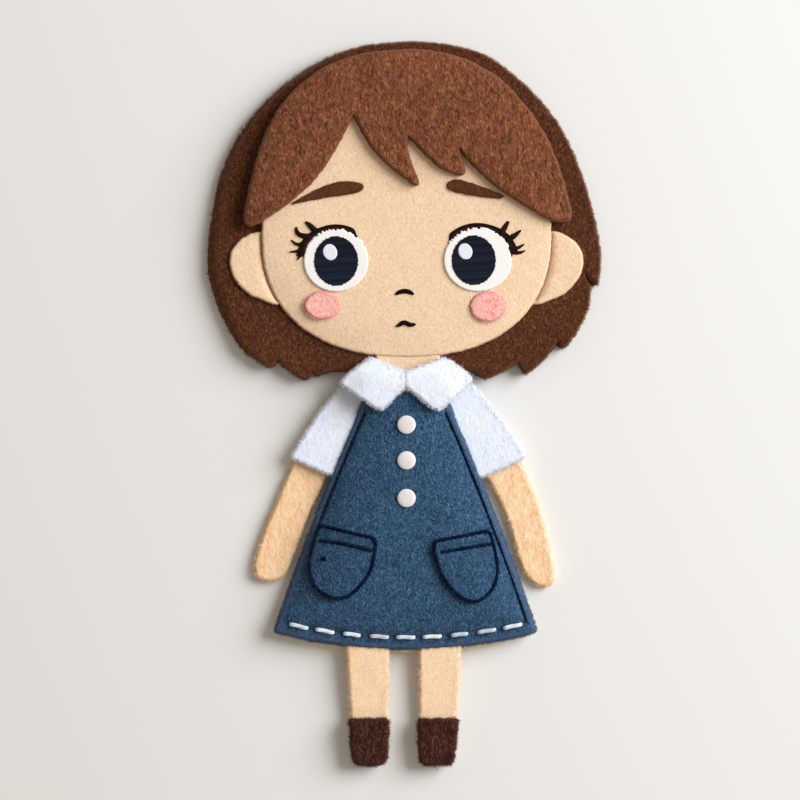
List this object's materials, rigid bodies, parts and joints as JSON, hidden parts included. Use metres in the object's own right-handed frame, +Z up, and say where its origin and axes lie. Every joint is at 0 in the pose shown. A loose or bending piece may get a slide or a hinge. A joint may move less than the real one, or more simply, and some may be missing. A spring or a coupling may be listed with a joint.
{
  "type": "felt doll",
  "caption": "Flat layered felt doll with bobbed hair, stitched face, A-line dress with collar, buttons and pockets, and felt limbs that fold at the hems.",
  "frame": {"origin": "on the surface that the doll lies on, below the middle of its outline", "axes": "+X to the doll's right in the picture, +Y towards the top of the head, +Z up out of the face"},
  "size_m": [0.096, 0.1808, 0.0095],
  "materials": {
    "hair_dark": "dark brown felt",
    "hair_light": "brown felt",
    "skin": "pale skin felt",
    "limb_skin": "warm skin felt",
    "white_felt": "white felt",
    "dress_blue": "heathered blue felt",
    "backing": "cream backing felt",
    "wadding": "soft white wadding",
    "shoe_felt": "dark brown felt",
    "brow": "stitched brown",
    "cheek": "pink felt",
    "eye_white": "white satin stitch",
    "iris": "dark slate satin stitch",
    "lash_thread": "dark brown thread",
    "mouth_thread": "red brown thread",
    "navy_thread": "navy thread",
    "white_thread": "white cotton thread",
    "button": "cream satin plastic"
  },
  "bodies": {
    "torso": {"neck_tab": "skin", "dress_back": "backing", "torso_pad": "wadding", "dress_front": "dress_blue", "hem_thread": "white_thread", "pocket_left": "dress_blue", "pocket_right": "dress_blue", "pocket_edge_left": "navy_thread", "pocket_edge_right": "navy_thread", "pocket_welt_left": "navy_thread", "pocket_welt_right": "navy_thread", "side_seam_left": "navy_thread", "side_seam_right": "navy_thread", "button_top": "button", "button_middle": "button", "button_bottom": "button", "collar_left": "white_felt", "collar_right": "white_felt", "sleeve_left": "white_felt", "sleeve_right": "white_felt", "arm_tab_left": "limb_skin", "arm_tab_right": "limb_skin", "leg_tab_left": "skin", "leg_tab_right": "skin"},
    "head": {"hair_back": "hair_dark", "head_pad": "wadding", "ear_left": "skin", "ear_right": "skin", "face": "skin", "fringe": "hair_light", "eyebrow_left": "brow", "eyebrow_right": "brow", "eyelash_left": "lash_thread", "eyelash_right": "lash_thread", "eye_white_left": "eye_white", "eye_white_right": "eye_white", "iris_left": "iris", "iris_right": "iris", "eye_glint_left": "eye_white", "eye_glint_right": "eye_white", "cheek_left": "cheek", "cheek_right": "cheek", "nose_stitch": "lash_thread", "mouth_stitch": "mouth_thread", "neck": "skin"},
    "arm_left": {"arm_left": "limb_skin"},
    "arm_right": {"arm_right": "limb_skin"},
    "leg_left": {"leg_left": "skin", "shoe_left": "shoe_felt"},
    "leg_right": {"leg_right": "skin", "shoe_right": "shoe_felt"}
  },
  "joints": [
    {"name": "head_nod", "type": "hinge", "parent": "torso", "child": "head", "pos_m": [0, 0.00588, 0.0043], "axis": [1, 0, 0], "range_deg": [0, 10], "stiffness_Nm_per_rad": 0.02},
    {"name": "arm_left_fold", "type": "hinge", "parent": "torso", "child": "arm_left", "pos_m": [-0.02437, -0.01673, 0.0022], "axis": [-0.9224, 0.3861, 0], "range_deg": [0, 80], "stiffness_Nm_per_rad": 0.002},
    {"name": "arm_right_fold", "type": "hinge", "parent": "torso", "child": "arm_right", "pos_m": [0.02393, -0.01673, 0.0022], "axis": [-0.8988, -0.4384, 0], "range_deg": [0, 80], "stiffness_Nm_per_rad": 0.002},
    {"name": "leg_left_fold", "type": "hinge", "parent": "torso", "child": "leg_left", "pos_m": [-0.00987, -0.06191, 0.0043], "axis": [-1, 0, 0], "range_deg": [0, 90], "stiffness_Nm_per_rad": 0.002},
    {"name": "leg_right_fold", "type": "hinge", "parent": "torso", "child": "leg_right", "pos_m": [0.00823, -0.06193, 0.0043], "axis": [-1, 0, 0], "range_deg": [0, 90], "stiffness_Nm_per_rad": 0.002}
  ]
}
